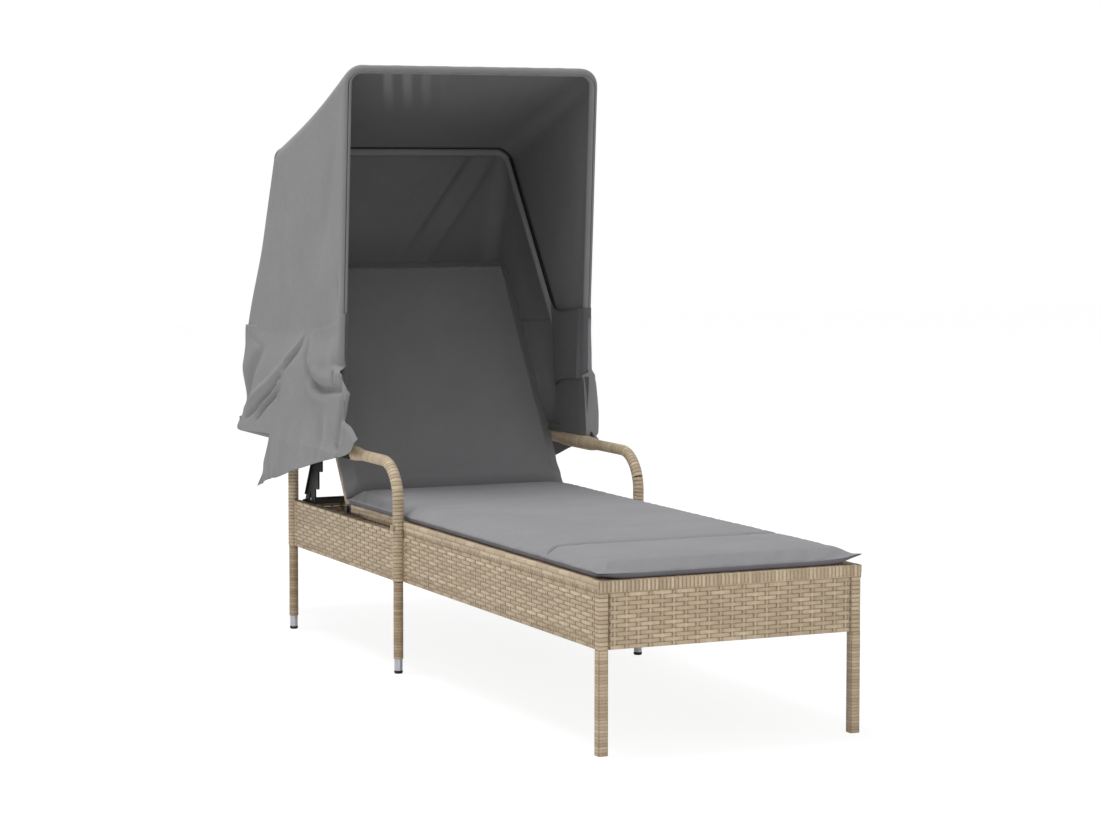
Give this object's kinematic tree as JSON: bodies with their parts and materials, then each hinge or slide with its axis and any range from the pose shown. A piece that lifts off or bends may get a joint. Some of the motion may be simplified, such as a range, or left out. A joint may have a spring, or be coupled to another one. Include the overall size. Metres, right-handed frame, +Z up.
{
  "type": "sun lounger with canopy",
  "caption": "Woven sun lounger on slim legs with armrests, reclining padded back on a prop, and a folding cloth hood over the head end.",
  "frame": {"origin": "on the floor, under the middle of the outline", "axes": "+Z up, +Y from the foot end to the head end, +X to the right of someone who looks along +Y"},
  "size_m": [0.712, 2.1292, 1.409],
  "materials": {
    "rattan": "woven flat strand",
    "black_steel": "black powder coat",
    "bare_steel": "bright",
    "rubber": "matte",
    "canopy_cloth": "grey weave",
    "cushion_cloth": "grey weave"
  },
  "bodies": {
    "frame": {"seat_frame": "rattan", "seat_deck": "rattan", "deck_crossbar_1": "black_steel", "deck_crossbar_2": "black_steel", "foot_end_panel": "rattan", "head_end_panel": "rattan", "front_leg_left": "rattan", "front_side_panel_left": "rattan", "rear_side_panel_left": "rattan", "armrest_left": "rattan", "frame_bolt_left": "black_steel", "mid_left_lower_leg": "rattan", "mid_left_leg_tip": "bare_steel", "mid_left_foot_cap": "rubber", "rear_left_lower_leg": "rattan", "rear_left_leg_tip": "bare_steel", "rear_left_foot_cap": "rubber", "rack_left": "black_steel", "back_hinge_plate_left": "black_steel", "back_hinge_bolt_left": "bare_steel", "canopy_bracket_left": "black_steel", "canopy_pivot_left": "bare_steel", "canopy_skirt_left": "canopy_cloth", "front_leg_right": "rattan", "front_side_panel_right": "rattan", "rear_side_panel_right": "rattan", "armrest_right": "rattan", "frame_bolt_right": "black_steel", "mid_right_lower_leg": "rattan", "mid_right_leg_tip": "bare_steel", "mid_right_foot_cap": "rubber", "rear_right_lower_leg": "rattan", "rear_right_leg_tip": "bare_steel", "rear_right_foot_cap": "rubber", "rack_right": "black_steel", "back_hinge_plate_right": "black_steel", "back_hinge_bolt_right": "bare_steel", "canopy_bracket_right": "black_steel", "canopy_pivot_right": "bare_steel", "canopy_skirt_right": "canopy_cloth", "rear_hoop": "black_steel", "seat_cushion": "cushion_cloth"},
    "backrest": {"prop_bolt_left": "bare_steel", "prop_bolt_right": "bare_steel", "back_frame": "rattan", "back_panel": "rattan", "back_crossbar_1": "black_steel", "back_crossbar_2": "black_steel", "back_cushion": "cushion_cloth"},
    "prop": {"prop_arm_left": "black_steel", "prop_arm_right": "black_steel", "prop_cross_tube": "black_steel"},
    "mid_hoop_body": {"mid_hoop_end_left": "black_steel", "mid_hoop_end_right": "black_steel", "mid_hoop": "black_steel", "canopy_back": "canopy_cloth"},
    "front_hoop_body": {"front_hoop_end_left": "black_steel", "front_hoop_end_right": "black_steel", "front_hoop": "black_steel", "canopy_top": "canopy_cloth"}
  },
  "joints": [
    {"name": "backrest_hinge", "type": "hinge", "parent": "frame", "child": "backrest", "pos_m": [0, 0.36535, 0.336], "axis": [1, 0, 0], "range_deg": [-57, 13]},
    {"name": "prop_hinge", "type": "hinge", "parent": "backrest", "child": "prop", "pos_m": [0, 0.51513, 0.56663], "axis": [1, 0, 0], "range_deg": [-26, 114]},
    {"name": "mid_hoop_hinge", "type": "hinge", "parent": "frame", "child": "mid_hoop_body", "pos_m": [0, 0.30635, 0.546], "axis": [1, 0, 0], "range_deg": [-45, 0], "deforming": ["canopy_back"]},
    {"name": "front_hoop_hinge", "type": "hinge", "parent": "mid_hoop_body", "child": "front_hoop_body", "pos_m": [0, 0.30635, 0.546], "axis": [1, 0, 0], "range_deg": [-22, 0], "deforming": ["canopy_top"]}
  ],
  "couplings": [
    {"joint": "prop_hinge", "follows": "backrest_hinge", "ratio": -2}
  ]
}
